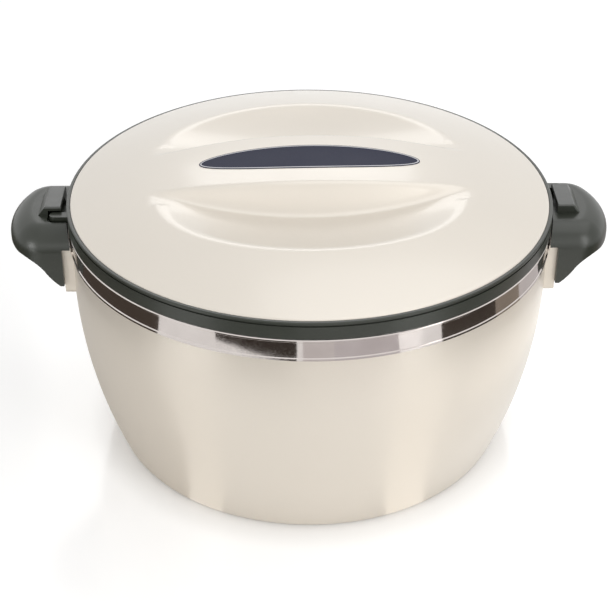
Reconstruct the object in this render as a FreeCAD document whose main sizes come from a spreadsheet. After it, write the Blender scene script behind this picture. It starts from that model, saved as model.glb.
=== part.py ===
import FreeCAD, Part
import math
import os

import Sketcher
from FreeCAD import Placement, Rotation, Vector

# Insulated serving casserole with a lift-off twist-lock lid.
# Millimetres. The origin is the middle of the ring that the pot rests on, +Z up.
# The two handles stand at +X and -X, and the lid's grip bar runs from one to the other.

doc = FreeCAD.newDocument("casserole")
sheet = doc.addObject("Spreadsheet::Sheet", "Sizes")


# Sizes

class Size:
    """A size held twice: as its number, and as the sheet formula that gives it."""

    def __init__(self, value, formula):
        self.value = value
        self.formula = formula

    def __add__(self, other):
        other = as_size(other)
        return Size(self.value + other.value, f"({self.formula} + {other.formula})")

    def __sub__(self, other):
        other = as_size(other)
        return Size(self.value - other.value, f"({self.formula} - {other.formula})")

    def __mul__(self, other):
        other = as_size(other)
        return Size(self.value * other.value, f"({self.formula} * {other.formula})")

    def __truediv__(self, other):
        other = as_size(other)
        return Size(self.value / other.value, f"({self.formula} / {other.formula})")

    def __neg__(self):
        return Size(-self.value, f"(-{self.formula})")

    def __rsub__(self, other):
        return as_size(other) - self


def as_size(number):
    if isinstance(number, Size):
        return number
    return Size(float(number), f"({float(number)!r})")


def root(size):
    return Size(math.sqrt(size.value), f"sqrt({size.formula})")


sheet_rows = 0


def size(alias, value):
    """Put one driving size in the sheet and hand it back."""
    global sheet_rows
    sheet_rows += 1
    sheet.set(f"A{sheet_rows}", alias)
    sheet.set(f"B{sheet_rows}", repr(value))
    sheet.setAlias(f"B{sheet_rows}", alias)
    return Size(float(value), f"Sizes.{alias}")


# Outer shell of the pot
shell_mouth_radius = size("shell_mouth_radius", 140.4)
shell_top = size("shell_top", 142)
shell_wall = size("shell_wall", 2.5)
side_bulge = size("side_bulge", 7.2)
foot_radius = size("foot_radius", 116)
foot_width = size("foot_width", 5)
foot_depth = size("foot_depth", 4)
foot_draft = size("foot_draft", 1)
base_corner_width = size("base_corner_width", 4.6)
base_corner_height = size("base_corner_height", 3.4)

# Bright trim band round the shell's mouth
band_depth = size("band_depth", 10.2)
band_wall = size("band_wall", 0.8)
band_gap = size("band_gap", 0.2)
band_bead = size("band_bead", 0.5)
band_bead_height = size("band_bead_height", 1.2)
band_lip_width = size("band_lip_width", 2.2)
band_bottom = shell_top - band_depth

# Collar that closes the top of the insulation
collar_flange = size("collar_flange", 1.6)
collar_rise = size("collar_rise", 2.4)
collar_depth = size("collar_depth", 9)
collar_wall = size("collar_wall", 2.5)
collar_fit = size("collar_fit", 0.2)

# Steel bowl
rim_width = size("rim_width", 18.3)
bowl_wall = size("bowl_wall", 0.8)
bowl_floor_radius = size("bowl_floor_radius", 84)
bowl_corner = size("bowl_corner", 20)
bowl_floor_height = size("bowl_floor_height", 24)
bowl_flange_width = size("bowl_flange_width", 8)
bowl_mouth_radius = shell_mouth_radius - rim_width
bowl_spread = bowl_floor_radius + bowl_corner

# Foam and its filling hole
foam_gap = size("foam_gap", 0.2)
plug_radius = size("plug_radius", 11)
plug_head = size("plug_head", 3)
plug_fit = size("plug_fit", 0.1)
plug_margin = size("plug_margin", 1)

# Handle pads on the shell
pad_proud = size("pad_proud", 3.3)
pad_thickness = size("pad_thickness", 10.2)
pad_drop = size("pad_drop", 6.7)
pad_height = size("pad_height", 30.7)
pad_corner = size("pad_corner", 3)
pad_face = shell_mouth_radius + pad_proud
pad_inner_face = pad_face - pad_thickness
pad_top = shell_top - pad_drop
pad_bottom = pad_top - pad_height

# Handle screws
screw_spread = size("screw_spread", 36)
screw_rise = size("screw_rise", 15.4)
screw_radius = size("screw_radius", 2)
screw_head_radius = size("screw_head_radius", 4)
screw_head_height = size("screw_head_height", 2.6)
screw_grip = size("screw_grip", 6)
screw_fit = size("screw_fit", 0.08)
screw_end_gap = size("screw_end_gap", 0.2)
screw_height = pad_bottom + screw_rise

# Handles: the ear's outside
handle_projection = size("handle_projection", 33.3)
handle_half_width = size("handle_half_width", 34)
handle_corner = size("handle_corner", 18)
handle_end_radius = size("handle_end_radius", 52)
handle_rise = size("handle_rise", 5)
handle_depth = size("handle_depth", 35.5)
handle_shoulder = size("handle_shoulder", 13.5)
handle_flank = size("handle_flank", 3)
rim_gap = size("rim_gap", 0.7)
handle_reach = pad_face + handle_projection
handle_top = shell_top + handle_rise
handle_bottom = handle_top - handle_depth
pad_half_width = handle_half_width - handle_flank

# Handles: the finger gap, whose rim is arched at the two flanks
handle_web = size("handle_web", 7.5)
handle_wall = size("handle_wall", 4.5)
web_foot = size("web_foot", 2.3)
web_bend = size("web_bend", 40)
lip_depth = size("lip_depth", 16)
arch_depth = size("arch_depth", 16.2)
arch_run = size("arch_run", 13)
arch_bend = size("arch_bend", 22)
arch_middle_setback = size("arch_middle_setback", 0.4)
arch_middle_depth = size("arch_middle_depth", 25.1)
roof_depth = size("roof_depth", 7.5)
recess_round = size("recess_round", 8)
grip_lip = handle_top - lip_depth
grip_arch = handle_top - arch_depth
arch_middle_height = handle_top - arch_middle_depth
grip_roof = handle_top - roof_depth

# Lock ring of the lid
ring_overhang = size("ring_overhang", 1.7)
ring_bottom_gap = size("ring_bottom_gap", 0.5)
ring_skirt = size("ring_skirt", 2.5)
ring_web = size("ring_web", 2.4)
ring_inset = size("ring_inset", 3.1)
ring_groove_depth = size("ring_groove_depth", 0.8)
ring_groove_height = size("ring_groove_height", 1)
ring_lip_height = size("ring_lip_height", 1.6)
ring_lip_drop = size("ring_lip_drop", 0.4)
ring_round = size("ring_round", 0.5)
ring_radius = shell_mouth_radius + ring_overhang
ring_inner_radius = bowl_mouth_radius - ring_inset

# Twist lock
hook_rise = size("hook_rise", 5.4)
hook_roof = size("hook_roof", 2.4)
hook_gap = size("hook_gap", 2.9)
hook_width = size("hook_width", 13.5)
hook_slope = size("hook_slope", 4)
hook_mouth = size("hook_mouth", 12.7)
hook_closed_end = size("hook_closed_end", 13.3)
hook_end_wall = size("hook_end_wall", 7.8)
hook_round = size("hook_round", 1)
lug_projection = size("lug_projection", 9.3)
lug_length = size("lug_length", 6)
lug_thickness = size("lug_thickness", 3.8)
lug_clearance = size("lug_clearance", 0.6)
seat_margin = size("seat_margin", 1.8)
seat_round = size("seat_round", 4)
hook_top = handle_top + hook_rise
hook_inner_face = ring_radius + hook_gap
hook_outer_face = hook_inner_face + hook_width
lug_reach = ring_radius + lug_projection

# Lid
lid_margin = size("lid_margin", 2.2)
lid_edge_rise = size("lid_edge_rise", 14)
lid_rise = size("lid_rise", 22.3)
lid_skin = size("lid_skin", 2.5)
lid_edge_depth = size("lid_edge_depth", 2.4)
lid_fit = size("lid_fit", 0.3)
lid_turned = size("lid_turned", 1.4)
lid_radius = ring_radius - lid_margin
lid_edge_height = shell_top + lid_edge_rise

# Finger scoops either side of the grip bar
bar_half_width = size("bar_half_width", 30)
bar_side_radius = size("bar_side_radius", 385)
bar_side_run = size("bar_side_run", 8.5)
scoop_depth = size("scoop_depth", 18)
scoop_centre = size("scoop_centre", 38)
scoop_across_radius = size("scoop_across_radius", 154)
scoop_along_radius = size("scoop_along_radius", 455)
scoop_margin = size("scoop_margin", 29.9)
scoop_reach = lid_radius - scoop_margin

# Oval plate on the grip bar
plate_half_length = size("plate_half_length", 64.5)
plate_half_width = size("plate_half_width", 14.4)
plate_thickness = size("plate_thickness", 1)
plate_proud = size("plate_proud", 0.3)

# Underside of the lid
liner_wall = size("liner_wall", 0.8)
liner_gap = size("liner_gap", 3)
liner_drop = size("liner_drop", 12)
liner_corner = size("liner_corner", 6)
liner_flange_gap = size("liner_flange_gap", 0.2)
seal_height = size("seal_height", 2.9)
seal_width = size("seal_width", 4.6)
seal_gap = size("seal_gap", 0.3)
seal_round = size("seal_round", 0.6)
seal_setback = size("seal_setback", 1.2)
seal_keeper_width = size("seal_keeper_width", 1.8)
seal_keeper_gap = size("seal_keeper_gap", 0.9)
lid_plug_radius = size("lid_plug_radius", 8)

# How far a cutting shape runs on past the face it cuts, how near two places count as one,
# and the least volume in cubic millimetres that counts as a cut
overcut = size("overcut", 2)
closeness = 0.01
least_cut = 0.5

doc.recompute()


# Ways of making a piece

def origin_plane(body, role):
    return [plane for plane in body.Origin.OriginFeatures if plane.Role == role][0]


def pin(sketch, edge, end, across, up):
    """Fix one end of an edge at its two distances from the sketch's origin."""
    for direction, axis, distance in (("DistanceX", -2, across), ("DistanceY", -1, up)):
        if distance.value == 0:
            sketch.addConstraint(Sketcher.Constraint("PointOnObject", edge, end, axis))
            continue
        index = sketch.addConstraint(Sketcher.Constraint(direction, -1, 1, edge, end, distance.value))
        sketch.setExpression(f"Constraints[{index}]", distance.formula)


def arc_between(start, finish, radius):
    """Short arc from start to finish: a positive radius bends to the left, a negative to the right."""
    middle = (start + finish) * 0.5
    half = (finish - start) * 0.5
    if abs(radius) < half.Length:
        raise RuntimeError(f"an arc of radius {radius} cannot span {half.Length * 2}")
    side = Vector(-half.y, half.x, 0)
    side.normalize()
    depth = math.sqrt(radius * radius - half.Length ** 2)
    centre = middle + side * (depth if radius > 0 else -depth)
    first, last = (start, finish) if radius > 0 else (finish, start)
    from_angle = math.atan2(first.y - centre.y, first.x - centre.x)
    to_angle = math.atan2(last.y - centre.y, last.x - centre.x)
    return Part.ArcOfCircle(Part.Circle(centre, Vector(0, 0, 1), abs(radius)), from_angle, to_angle)


def new_sketch(body, name, role="XZ_Plane", raised=None):
    sketch = body.newObject("Sketcher::SketchObject", name)
    sketch.AttachmentSupport = [(origin_plane(body, role), "")]
    sketch.MapMode = "FlatFace"
    if raised is not None:
        sketch.AttachmentOffset = Placement(Vector(0, 0, raised.value), Rotation())
        sketch.setExpression(".AttachmentOffset.Base.z", raised.formula)
    return sketch


def outline(sketch, stops):
    """Closed outline. A stop is (across, up), or (across, up, radius) where an arc arrives there."""
    places = [(as_size(stop[0]), as_size(stop[1])) for stop in stops]
    points = [Vector(across.value, up.value, 0) for across, up in places]
    edges = []
    for number, stop in enumerate(stops):
        start, finish = points[number - 1], points[number]
        if len(stop) == 2:
            edges.append((sketch.addGeometry(Part.LineSegment(start, finish), False), 1, 2))
            continue
        radius = as_size(stop[2])
        edge = sketch.addGeometry(arc_between(start, finish, radius.value), False)
        ends = (1, 2) if radius.value > 0 else (2, 1)
        edges.append((edge, *ends))
        index = sketch.addConstraint(Sketcher.Constraint("Radius", edge, abs(radius.value)))
        sketch.setExpression(f"Constraints[{index}]", f"abs({radius.formula})")
    for number, (edge, first, last) in enumerate(edges):
        following, following_first, _ = edges[(number + 1) % len(edges)]
        sketch.addConstraint(Sketcher.Constraint("Coincident", edge, last, following, following_first))
        pin(sketch, edge, last, *places[number])
    return sketch


def circles(sketch, centres, radius):
    """One circle of the same radius round each centre."""
    for across, up in centres:
        across, up = as_size(across), as_size(up)
        centre = Vector(across.value, up.value, 0)
        edge = sketch.addGeometry(Part.Circle(centre, Vector(0, 0, 1), radius.value), False)
        pin(sketch, edge, 3, across, up)
        index = sketch.addConstraint(Sketcher.Constraint("Radius", edge, radius.value))
        sketch.setExpression(f"Constraints[{index}]", radius.formula)
    return sketch


def new_body(label):
    body = doc.addObject("PartDesign::Body", label)
    body.Label = label
    return body


def turned(body, name, stops, kind="PartDesign::Revolution"):
    """Turn an outline in the XZ plane all the way round the body's Z axis."""
    sketch = outline(new_sketch(body, name + "_outline"), stops)
    feature = body.newObject(kind, name)
    feature.Profile = sketch
    feature.ReferenceAxis = (sketch, ["V_Axis"])
    feature.Angle = 360
    return feature


def pad(body, name, sketch, length, reverse=False, both_ways=False):
    feature = body.newObject("PartDesign::Pad", name)
    feature.Profile = sketch
    feature.Length = length.value
    feature.setExpression("Length", length.formula)
    feature.Reversed = reverse
    feature.Midplane = both_ways
    return feature


def pocket(body, name, sketch, length, reverse=False, both_ways=False):
    before = solid_so_far(body)
    feature = body.newObject("PartDesign::Pocket", name)
    feature.Profile = sketch
    feature.Length = length.value
    feature.setExpression("Length", length.formula)
    feature.Reversed = reverse
    feature.Midplane = both_ways
    doc.recompute()
    if feature.Shape.Volume > before - least_cut:
        raise RuntimeError(f"{name} cuts nothing")
    return feature


def solid_so_far(body):
    doc.recompute()
    return body.Shape.Volume


def soften(body, name, chosen, radius):
    """Round the edges of the solid so far that the test picks out."""
    doc.recompute()
    base = body.Tip
    edges = [f"Edge{number}" for number, edge in enumerate(base.Shape.Edges, 1) if chosen(edge)]
    if not edges:
        raise RuntimeError(f"{name} finds no edge")
    feature = body.newObject("PartDesign::Fillet", name)
    feature.Base = (base, edges)
    feature.Radius = radius.value
    feature.setExpression("Radius", radius.formula)
    doc.recompute()
    return feature


def middle_of(edge):
    return edge.valueAt((edge.FirstParameter + edge.LastParameter) / 2)


def cut(label, base, tool):
    feature = doc.addObject("Part::Cut", label)
    feature.Base = base
    feature.Tool = tool
    feature.Label = label
    return feature


def common(label, base, tool):
    feature = doc.addObject("Part::Common", label)
    feature.Base = base
    feature.Tool = tool
    feature.Label = label
    return feature


def fused(label, shapes):
    feature = doc.addObject("Part::MultiFuse", label)
    feature.Shapes = shapes
    feature.Label = label
    return feature


def place(feature, x=None, y=None, z=None):
    """Stand a primitive at a place that follows the sheet."""
    for letter, distance in (("x", x), ("y", y), ("z", z)):
        if distance is not None:
            distance = as_size(distance)
            feature.setExpression(f".Placement.Base.{letter}", distance.formula)
    return feature


def primitive(kind, label, **sizes):
    feature = doc.addObject(kind, label)
    for name, distance in sizes.items():
        distance = as_size(distance)
        setattr(feature, name, distance.value)
        feature.setExpression(name, distance.formula)
    return feature


def turned_with_lid(feature):
    """The lid as photographed stands a little anticlockwise of the handles."""
    feature.Placement = Placement(Vector(), Rotation(Vector(0, 0, 1), lid_turned.value))
    feature.setExpression(".Placement.Rotation.Angle", lid_turned.formula)
    return feature


def half_turned(feature):
    """The other side's copy of a piece is the same piece half a turn round the Z axis."""
    feature.Placement = Placement(Vector(), Rotation(Vector(0, 0, 1), 180))
    return feature


def corner_bend():
    """Radius of the arc that leaves the flat of the foot and ends at the corner's width and height."""
    width, height = base_corner_width, base_corner_height
    return (width * width + height * height) / (height * 2)


def wall_low():
    """Radius at which the shell's side starts, above the rounded corner of the foot."""
    return foot_radius + base_corner_width


def side_bend():
    """Radius of the shell's side, an arc that stands side_bulge proud of a straight line."""
    run = shell_mouth_radius - wall_low()
    rise = band_bottom - base_corner_height
    return (run * run + rise * rise + side_bulge * side_bulge * 4) / (side_bulge * 8)


# Pot: outer shell

def make_outer_shell():
    """Moulded cup with a foot ring, a filling hole in its floor and a flat pad for each handle."""
    body = new_body("outer_shell")
    floor_top = foot_depth + shell_wall
    turned(body, "cup", [
        (plug_radius, foot_depth),
        (foot_radius - foot_width - foot_draft, foot_depth),
        (foot_radius - foot_width, 0),
        (foot_radius, 0),
        (wall_low(), base_corner_height, corner_bend()),
        (shell_mouth_radius, band_bottom, side_bend()),
        (shell_mouth_radius, shell_top),
        (shell_mouth_radius - shell_wall, shell_top),
        (shell_mouth_radius - shell_wall, band_bottom),
        (wall_low(), floor_top + base_corner_height, -(side_bend() - shell_wall)),
        (foot_radius, floor_top, -corner_bend()),
        (plug_radius, floor_top),
    ])
    thickness = pad_face - pad_inner_face
    for side, name in ((1, "right"), (-1, "left")):
        inner = pad_inner_face * side
        sketch = outline(new_sketch(body, f"{name}_pad_outline", "YZ_Plane", raised=inner), [
            (-pad_half_width, pad_bottom),
            (pad_half_width, pad_bottom),
            (pad_half_width, pad_top),
            (-pad_half_width, pad_top),
        ])
        pad(body, f"{name}_pad", sketch, thickness, reverse=side < 0)
    band_outer = shell_mouth_radius + band_gap + band_wall + band_bead + band_gap
    turned(body, "band_space", [
        (shell_mouth_radius, band_bottom),
        (band_outer, band_bottom),
        (band_outer, pad_top + overcut),
        (shell_mouth_radius, pad_top + overcut),
    ], "PartDesign::Groove")
    soften(body, "pad_corners", is_pad_corner, pad_corner)
    holes = circles(new_sketch(body, "screw_hole_places", "YZ_Plane"),
                    [(screw_spread / 2, screw_height), (-screw_spread / 2, screw_height)],
                    screw_radius + screw_fit)
    pocket(body, "screw_holes", holes, pad_face * 2 + overcut, both_ways=True)
    return body


def is_pad_corner(edge):
    """The lower corners of the two handle pads."""
    spot = middle_of(edge)
    straight = edge.Curve.TypeId == "Part::GeomLine"
    along_x = straight and abs(edge.tangentAt(edge.FirstParameter).x) > 1 - closeness
    return along_x and abs(spot.x) > pad_inner_face.value and abs(spot.z - pad_bottom.value) < closeness


# Pot: trim band, collar, bowl, foam and plug

def make_rim_band():
    """Bright steel band, beaded at its foot, and turned in over the collar's flange at its top."""
    body = new_body("rim_band")
    inside = shell_mouth_radius + band_gap
    outside = inside + band_wall
    band_top = band_height()
    turned(body, "band", [
        (inside, band_bottom),
        (outside + band_bead, band_bottom),
        (outside + band_bead, band_bottom + band_bead_height),
        (outside, band_bottom + band_bead_height + band_bead),
        (outside, band_top - band_bead_height - band_bead),
        (outside + band_bead, band_top - band_bead_height),
        (outside + band_bead, band_top - band_bead),
        (outside, band_top),
        (outside - band_lip_width, band_top),
        (outside - band_lip_width, band_top - band_wall),
        (inside, band_top - band_wall),
    ])
    return body


def band_height():
    return shell_top + collar_flange + band_gap + band_wall


def collar_top():
    return shell_top + collar_flange + collar_rise


def make_rim_collar():
    """Moulded ring, hollow below, that joins the shell's mouth to the bowl's rim."""
    body = new_body("rim_collar")
    outer = shell_mouth_radius - shell_wall - collar_fit
    inner = bowl_mouth_radius + bowl_wall + collar_fit
    bottom = collar_top() - collar_depth
    under_roof = collar_top() - collar_wall
    turned(body, "collar", [
        (outer, bottom),
        (outer, shell_top),
        (shell_mouth_radius, shell_top),
        (shell_mouth_radius, shell_top + collar_flange),
        (outer, shell_top + collar_flange),
        (outer, collar_top()),
        (inner, collar_top()),
        (inner, bottom),
        (inner + collar_wall, bottom),
        (inner + collar_wall, under_roof),
        (outer - collar_wall, under_roof),
        (outer - collar_wall, bottom),
    ])
    return body


def make_inner_bowl():
    """Deep-drawn steel bowl whose flange lies on the collar."""
    body = new_body("inner_bowl")
    mouth = bowl_mouth_radius + bowl_wall
    turned(body, "bowl", [
        (0, bowl_floor_height),
        (bowl_floor_radius, bowl_floor_height),
        (bowl_spread, bowl_floor_height + bowl_corner, bowl_corner),
        (mouth, collar_top() - collar_wall),
        (mouth, collar_top()),
        (mouth + bowl_flange_width, collar_top()),
        (mouth + bowl_flange_width, collar_top() + bowl_wall),
        (bowl_mouth_radius, collar_top() + bowl_wall),
        (bowl_mouth_radius, collar_top() - collar_wall),
        (bowl_spread - bowl_wall, bowl_floor_height + bowl_corner),
        (bowl_floor_radius, bowl_floor_height + bowl_wall, -(bowl_corner - bowl_wall)),
        (0, bowl_floor_height + bowl_wall),
    ])
    return body


def make_body_foam():
    """Rigid foam poured between shell and bowl. It stops short of the screw heads and the pads."""
    body = new_body("foam_fill")
    floor_top = foot_depth + shell_wall
    side = shell_mouth_radius - shell_wall - foam_gap
    bowl_side = bowl_wall + foam_gap
    bottom = collar_top() - collar_depth - foam_gap
    channel_outer = shell_mouth_radius - shell_wall - collar_fit - collar_wall - foam_gap
    channel_inner = bowl_mouth_radius + bowl_wall + collar_fit + collar_wall + foam_gap
    channel_top = collar_top() - collar_wall - foam_gap
    turned(body, "fill", [
        (0, floor_top + plug_head),
        (plug_radius + plug_margin, floor_top + plug_head),
        (plug_radius + plug_margin, floor_top),
        (foot_radius - foam_gap, floor_top),
        (wall_low() - foam_gap, floor_top + base_corner_height, corner_bend()),
        (side, band_bottom, side_bend() - shell_wall - foam_gap),
        (side, bottom),
        (channel_outer, bottom),
        (channel_outer, channel_top),
        (channel_inner, channel_top),
        (channel_inner, bottom),
        (bowl_mouth_radius + bowl_side, bottom),
        (bowl_spread + foam_gap, bowl_floor_height + bowl_corner),
        (bowl_floor_radius, bowl_floor_height - foam_gap, -(bowl_corner + foam_gap)),
        (0, bowl_floor_height - foam_gap),
    ])
    voids = []
    depth = pad_face - pad_inner_face + screw_head_height
    for name, low in (("right", pad_inner_face - foam_gap), ("left", -(pad_face + screw_head_height))):
        block = primitive("Part::Box", f"{name}_pad_space",
                          Length=depth + foam_gap, Width=(pad_half_width + foam_gap) * 2,
                          Height=pad_top - pad_bottom + foam_gap * 2)
        place(block, low, -(pad_half_width + foam_gap), pad_bottom - foam_gap)
        voids.append(block)
        for row, offset in (("rear", screw_spread / 2), ("front", -screw_spread / 2)):
            head = primitive("Part::Box", f"{name}_{row}_head_space",
                             Length=screw_head_height + foam_gap * 2,
                             Width=(screw_head_radius + foam_gap) * 2,
                             Height=(screw_head_radius + foam_gap) * 2)
            inner = pad_inner_face - screw_head_height - foam_gap
            place(head, inner if name == "right" else -(inner + screw_head_height + foam_gap * 2),
                  offset - screw_head_radius - foam_gap, screw_height - screw_head_radius - foam_gap)
            voids.append(head)
    return cut("body_foam", body, fused("foam_voids", voids))


def make_foam_plug():
    """Stopper pressed into the filling hole, its head inside the shell."""
    body = new_body("foam_fill_plug")
    turned(body, "stopper", [
        (0, foot_depth),
        (plug_radius - plug_fit, foot_depth),
        (plug_radius - plug_fit, foot_depth + shell_wall + plug_head - foam_gap * 2),
        (0, foot_depth + shell_wall + plug_head - foam_gap * 2),
    ])
    return body


# Handle screws

def make_handle_screws():
    """Four pan-head screws driven from inside the shell, two for each handle."""
    screws = []
    shank = pad_face - pad_inner_face + screw_grip
    for side, turn in (("right", 90), ("left", -90)):
        sign = 1 if side == "right" else -1
        for row, offset in (("rear", screw_spread / 2), ("front", -screw_spread / 2)):
            rod = primitive("Part::Cylinder", f"{side}_{row}_shank", Radius=screw_radius, Height=shank)
            head = primitive("Part::Cylinder", f"{side}_{row}_head",
                             Radius=screw_head_radius, Height=screw_head_height)
            for piece, start in ((rod, pad_inner_face), (head, pad_inner_face - screw_head_height)):
                piece.Placement = Placement(Vector(), Rotation(Vector(0, 1, 0), turn))
                place(piece, start * sign, offset, screw_height)
            screws.append(fused(f"{side}_{row}_screw", [rod, head]))
    group = doc.addObject("Part::Compound", "handle_screws")
    group.Links = screws
    group.Label = "handle_screws"
    return group


# Handles

def corner_start():
    """Distance at which the ear's straight flanks end and its round corners begin."""
    corner_y = handle_half_width - handle_corner
    spread = handle_end_radius - handle_corner
    return handle_reach - handle_end_radius + root(spread * spread - corner_y * corner_y)


def ear_plan(inset, start_x):
    """Ear seen from above, drawn in by an inset: straight flanks, round corners and a flatter end."""
    end_centre = handle_reach - handle_end_radius
    corner_x = corner_start()
    corner_y = handle_half_width - handle_corner
    spread = handle_end_radius - handle_corner
    lead = corner_x - end_centre
    share = (handle_end_radius - inset) / spread
    touch_x = end_centre + lead * share
    touch_y = corner_y * share
    half = handle_half_width - inset
    return [
        (start_x, -half),
        (corner_x, -half),
        (touch_x, -touch_y, handle_corner - inset),
        (touch_x, touch_y, handle_end_radius - inset),
        (corner_x, half, handle_corner - inset),
        (start_x, half),
    ]


def make_handle(label):
    """Hollow ear moulding: a web against the pad, a rounded shell over the fingers, a lock hook on top."""
    body = new_body(label)
    rim = ring_radius + rim_gap
    inner_x = root(rim * rim - handle_half_width * handle_half_width)
    stops = ear_plan(as_size(0), inner_x)
    stops[0] = (*stops[0], -rim)
    pad(body, "ear", outline(new_sketch(body, "plan", "XY_Plane", raised=handle_bottom), stops),
        handle_top - handle_bottom)
    soften(body, "shoulder", lambda edge: is_shoulder(edge, rim.value), handle_shoulder)
    web_outer = pad_face + handle_web
    below = handle_bottom - overcut
    full_width = handle_half_width * 2 + overcut
    arch = outline(new_sketch(body, "arch_outline"), [
        (pad_face + web_foot, below),
        (handle_reach + overcut, below),
        (handle_reach + overcut, grip_lip),
        (handle_reach - handle_wall, grip_lip),
        (corner_start() + arch_run, grip_arch),
        (corner_start() - arch_middle_setback, arch_middle_height, arch_bend),
        (pad_face + web_foot, handle_bottom, -web_bend),
    ])
    pocket(body, "arch", arch, full_width, both_ways=True)
    seat = outline(new_sketch(body, "pad_seat_outline"), [
        (inner_x - overcut, below),
        (pad_face, below),
        (pad_face, pad_top + band_gap),
        (inner_x - overcut, pad_top + band_gap),
    ])
    pocket(body, "pad_seat", seat, full_width, both_ways=True)
    recess = outline(new_sketch(body, "finger_recess_outline", "XY_Plane", raised=below),
                     ear_plan(handle_wall, web_outer))
    pocket(body, "finger_recess", recess, grip_roof - below, reverse=True)
    soften(body, "recess_roof_edge", is_recess_roof_edge, recess_round)
    add_hook(body, inner_x - overcut)
    holes = circles(new_sketch(body, "screw_post_places", "YZ_Plane", raised=pad_face),
                    [(screw_spread / 2, screw_height), (-screw_spread / 2, screw_height)],
                    screw_radius + screw_fit)
    pocket(body, "screw_posts", holes, screw_grip + screw_end_gap, reverse=True)
    return body


def is_shoulder(edge, rim_radius):
    """Top outer edges of the ear, without the one that faces the lid."""
    spot = middle_of(edge)
    on_top = abs(spot.z - handle_top.value) < closeness
    return on_top and math.hypot(spot.x, spot.y) > rim_radius + closeness


def is_recess_roof_edge(edge):
    """Edges in the flat roof of the finger recess."""
    spot = middle_of(edge)
    return abs(spot.z - grip_roof.value) < closeness and edge.BoundBox.ZLength < closeness


def add_hook(body, start_x):
    """Twist-lock hook: roof, outer wall and closed end round the lug's path, open towards +Y."""
    base = handle_top - overcut
    profile = outline(new_sketch(body, "hook_profile", raised=-hook_mouth), [
        (hook_inner_face, base),
        (hook_outer_face, base),
        (hook_outer_face, handle_top),
        (hook_outer_face - hook_slope, hook_top),
        (hook_inner_face, hook_top),
    ])
    pad(body, "hook", profile, hook_mouth + hook_closed_end)
    soften(body, "hook_edges", is_hook_edge, hook_round)
    floor = seat_height()
    outer = lug_path_radius()
    stop = hook_end_wall - hook_closed_end
    path = outline(new_sketch(body, "lug_path_plan", "XY_Plane", raised=floor), [
        (start_x, stop),
        (outer, stop),
        (outer, hook_mouth + overcut),
        (start_x, hook_mouth + overcut),
    ])
    pocket(body, "lug_path", path, hook_top - hook_roof - floor, reverse=True)
    far = hook_mouth + lug_clearance + lug_length + seat_margin
    seat = outline(new_sketch(body, "seat_plan", "XY_Plane", raised=floor), [
        (start_x, hook_mouth),
        (outer, hook_mouth),
        (outer, far - seat_round),
        (outer - seat_round, far, seat_round),
        (start_x, far),
    ])
    pocket(body, "lug_seat", seat, hook_top - floor, reverse=True)


def seat_height():
    """Floor of the lug's seat and of its path under the hook."""
    return lug_bottom() - lug_clearance


def lug_path_radius():
    """Distance at which a lug's tip, swung round to the middle of the hook, stays clear of the wall."""
    across = lug_reach - lug_length / 2
    along = hook_mouth + lug_clearance + lug_length / 2
    return root(across * across + along * along) + lug_length / 2 + lug_clearance


def is_hook_edge(edge):
    """Edges round the hook's flat top, and the outer upright edge at its closed end."""
    spot = middle_of(edge)
    if spot.z < handle_top.value + hook_round.value:
        return False
    on_top = abs(spot.z - hook_top.value) < closeness
    closed_end = abs(spot.y + hook_closed_end.value) < closeness
    return on_top or (closed_end and spot.x > (hook_inner_face.value + hook_outer_face.value) / 2)


# Lid

def dome_radius(rise, radius):
    return (rise * rise + radius * radius) / (rise * 2)


def dome_top():
    return lid_edge_height + lid_rise


def dome_solid(label, drop, edge_radius, bottom):
    """Solid under a spherical cap that lies a given depth below the lid's outer face."""
    body = new_body(label)
    bend = dome_radius(lid_rise, lid_radius)
    low = dome_top() - drop
    radius = bend - drop
    edge_height = low - radius + root(radius * radius - edge_radius * edge_radius)
    turned(body, label + "_cap", [
        (0, bottom),
        (edge_radius, bottom),
        (edge_radius, edge_height),
        (0, low, radius),
    ])
    return body


def scoop(label, side, skin):
    """One hollow beside the grip bar, grown by a skin thickness: a barrel cut off at the bar's side."""
    reach = scoop_reach
    along = scoop_along_radius + skin
    across = scoop_across_radius + skin
    end_radius = across - along + root(along * along - reach * reach)
    barrel = new_body(label + "_barrel")
    sketch = outline(new_sketch(barrel, "barrel_outline", "XY_Plane"), [
        (-reach, 0),
        (reach, 0),
        (reach, end_radius),
        (-reach, end_radius, along),
    ])
    turn = barrel.newObject("PartDesign::Revolution", "barrel")
    turn.Profile = sketch
    turn.ReferenceAxis = (sketch, ["H_Axis"])
    turn.Angle = 360
    place(barrel, y=scoop_centre * side, z=dome_top() - scoop_depth + scoop_across_radius)
    return common(label, barrel, beside_bar(label + "_bound", side, skin))


def beside_bar(label, side, skin):
    """Space on one side of the grip bar, whose sides bow outwards in plan and spread downwards."""
    body = new_body(label)
    reach = scoop_reach
    slope = bar_side_run / scoop_depth
    slant = root(slope * slope + 1)
    bow = bar_side_radius - root(bar_side_radius * bar_side_radius - reach * reach)
    sketches = []
    for name, above in (("upper", overcut), ("lower", -(scoop_depth + skin + overcut * 2))):
        half = bar_half_width - slope * above - slant * skin
        sketches.append(outline(new_sketch(body, name, "XY_Plane", raised=dome_top() + above), [
            (-reach, (half - bow) * side, bar_side_radius * side),
            (-reach, reach * side),
            (reach, reach * side),
            (reach, (half - bow) * side),
        ]))
    loft = body.newObject("PartDesign::AdditiveLoft", label + "_space")
    loft.Profile = sketches[0]
    loft.Sections = [sketches[1]]
    loft.Ruled = True
    return body


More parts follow.
